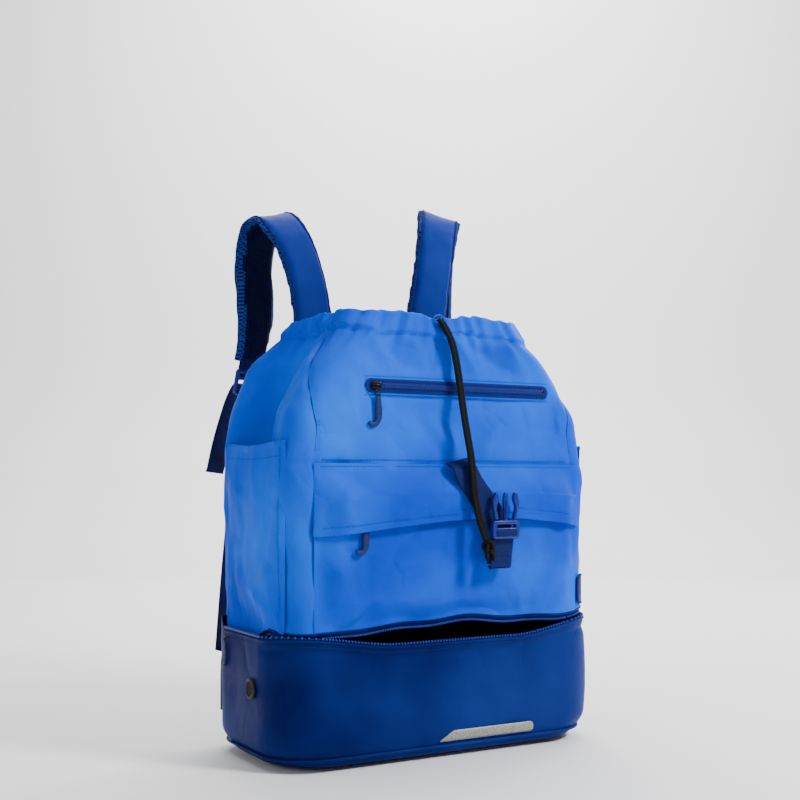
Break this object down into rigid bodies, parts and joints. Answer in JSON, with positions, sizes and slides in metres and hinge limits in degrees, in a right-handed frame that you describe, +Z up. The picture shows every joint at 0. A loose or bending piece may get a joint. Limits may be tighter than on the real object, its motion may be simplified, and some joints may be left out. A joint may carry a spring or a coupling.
{
  "type": "racket backpack",
  "caption": "Upright fabric backpack for racket sports with a drawstring mouth, side and front pockets, zipped shoe compartment and padded shoulder straps.",
  "frame": {"origin": "middle of the flat underside that the bag stands on", "axes": "+Z up towards the drawstring mouth, -Y out of the front pocket, +Y out of the back panel with the shoulder straps, +X towards the wearer's right hand side"},
  "size_m": [0.4061, 0.3525, 0.6321],
  "materials": {
    "azure_fabric": "coated polyester, slight sheen",
    "navy_fabric": "coated polyester, slight sheen",
    "strap_fabric": "satin knit over foam",
    "mesh_fabric": "matt spacer mesh over foam",
    "webbing": "matt polyester webbing",
    "cord": "matt braided",
    "zip_tape": "matt woven tape",
    "zip_coil": "satin",
    "buckle_plastic": "satin moulded",
    "puller": "satin rubbery",
    "slider_metal": "black enamel",
    "reflective": "retroreflective tape",
    "board": "matt",
    "vent_mesh": "matt"
  },
  "bodies": {
    "bag": {"base_board": "board", "frame_sheet": "board", "base_floor": "navy_fabric", "base_front_panel": "navy_fabric", "base_left_panel": "navy_fabric", "base_right_panel": "navy_fabric", "main_floor": "navy_fabric", "strap_yoke": "navy_fabric", "front_panel": "azure_fabric", "right_side_panel": "azure_fabric", "left_side_panel": "azure_fabric", "back_panel": "azure_fabric", "drawstring_casing_front": "azure_fabric", "drawstring_casing_right": "azure_fabric", "drawstring_casing_back": "azure_fabric", "drawstring_casing_left": "azure_fabric", "left_side_pocket": "azure_fabric", "right_side_pocket": "azure_fabric", "front_pocket_panel": "azure_fabric", "storm_flap": "azure_fabric", "corner_badge": "azure_fabric", "left_vent_eyelet": "vent_mesh", "right_vent_eyelet": "vent_mesh", "reflector_strip": "reflective", "top_zip_tape": "zip_tape", "front_pocket_zip": "zip_tape", "shoe_zip_lower_tape": "zip_tape", "shoe_zip_upper_tape": "zip_tape", "top_zip_coil": "zip_coil", "left_webbing": "webbing", "left_anchor_tab": "webbing", "right_webbing": "webbing", "right_anchor_tab": "webbing", "upper_back_pad": "mesh_fabric", "lower_back_pad": "mesh_fabric", "drawstring_left": "cord", "drawstring_right": "cord", "drawstring_knot": "cord"},
    "top_slider": {"top_slider": "slider_metal"},
    "top_puller": {"top_pull_ring": "slider_metal", "top_puller": "puller"},
    "pocket_slider": {"pocket_slider": "slider_metal"},
    "pocket_puller": {"pocket_puller": "puller"},
    "shoe_slider": {"shoe_slider": "slider_metal"},
    "shoe_puller": {"shoe_puller": "puller"},
    "front_strap": {"front_strap": "webbing"},
    "male_buckle": {"male_buckle": "buckle_plastic"},
    "buckle_arm_left": {"male_buckle_arm_left": "buckle_plastic"},
    "buckle_arm_right": {"male_buckle_arm_right": "buckle_plastic"},
    "closure_strap": {"closure_strap": "webbing"},
    "female_buckle": {"female_buckle": "buckle_plastic"},
    "hang_loop": {"hang_loop": "webbing"},
    "left_strap": {"left_strap_pad": "strap_fabric", "left_ladder_lock": "buckle_plastic", "left_strap_tail": "webbing"},
    "right_strap": {"right_strap_pad": "strap_fabric", "right_ladder_lock": "buckle_plastic", "right_strap_tail": "webbing"}
  },
  "joints": [
    {"name": "top_slider_slide", "type": "slide", "parent": "bag", "child": "top_slider", "axis": [1, 0, 0], "range_m": [0, 0.205]},
    {"name": "top_puller_lift", "type": "hinge", "parent": "top_slider", "child": "top_puller", "pos_m": [-0.088, -0.0942, 0.3822], "axis": [-1, 0, 0], "range_deg": [0, 85]},
    {"name": "pocket_slider_slide", "type": "slide", "parent": "bag", "child": "pocket_slider", "axis": [1, 0, 0], "range_m": [0, 0.225]},
    {"name": "pocket_puller_swing", "type": "hinge", "parent": "pocket_slider", "child": "pocket_puller", "pos_m": [-0.11, -0.1095, 0.253], "axis": [0, 1, 0], "range_deg": [-40, 40]},
    {"name": "shoe_slider_slide", "type": "slide", "parent": "bag", "child": "shoe_slider", "axis": [0, -1, 0], "range_m": [0, 0.07]},
    {"name": "shoe_puller_lift", "type": "hinge", "parent": "shoe_slider", "child": "shoe_puller", "pos_m": [-0.2008, 0.036, 0.121], "axis": [0, 1, 0], "range_deg": [0, 75]},
    {"name": "front_strap_swing", "type": "hinge", "parent": "bag", "child": "front_strap", "pos_m": [0.005, -0.117, 0.304], "axis": [0, 1, 0], "range_deg": [-12, 0]},
    {"name": "male_buckle_flip", "type": "hinge", "parent": "front_strap", "child": "male_buckle", "pos_m": [0.05, -0.1245, 0.231], "axis": [1, 0, 0], "range_deg": [0, 75]},
    {"name": "buckle_arm_left_squeeze", "type": "hinge", "parent": "male_buckle", "child": "buckle_arm_left", "pos_m": [0.0385, -0.1245, 0.2463], "axis": [0, 1, 0], "range_deg": [0, 6], "stiffness_Nm_per_rad": 0.3},
    {"name": "buckle_arm_right_squeeze", "type": "hinge", "parent": "male_buckle", "child": "buckle_arm_right", "pos_m": [0.0615, -0.1245, 0.2463], "axis": [0, 1, 0], "range_deg": [-6, 0], "stiffness_Nm_per_rad": 0.3},
    {"name": "closure_strap_swing", "type": "hinge", "parent": "bag", "child": "closure_strap", "pos_m": [0.015, 0.0813, 0.456], "axis": [1, 0, 0], "range_deg": [-110, 0]},
    {"name": "female_buckle_flip", "type": "hinge", "parent": "closure_strap", "child": "female_buckle", "pos_m": [0.015, 0.082, 0.3468], "axis": [1, 0, 0], "range_deg": [-75, 0]},
    {"name": "hang_loop_lift", "type": "hinge", "parent": "bag", "child": "hang_loop", "pos_m": [0.015, 0.1105, 0.438], "axis": [1, 0, 0], "range_deg": [0, 150]},
    {"name": "left_strap_swing", "type": "hinge", "parent": "bag", "child": "left_strap", "pos_m": [-0.0625, 0.106, 0.43], "axis": [1, 0, 0], "range_deg": [-8, 2]},
    {"name": "right_strap_swing", "type": "hinge", "parent": "bag", "child": "right_strap", "pos_m": [0.0925, 0.106, 0.43], "axis": [1, 0, 0], "range_deg": [-8, 2]}
  ],
  "couplings": [
    {"joint": "buckle_arm_right_squeeze", "follows": "buckle_arm_left_squeeze", "ratio": -1}
  ]
}
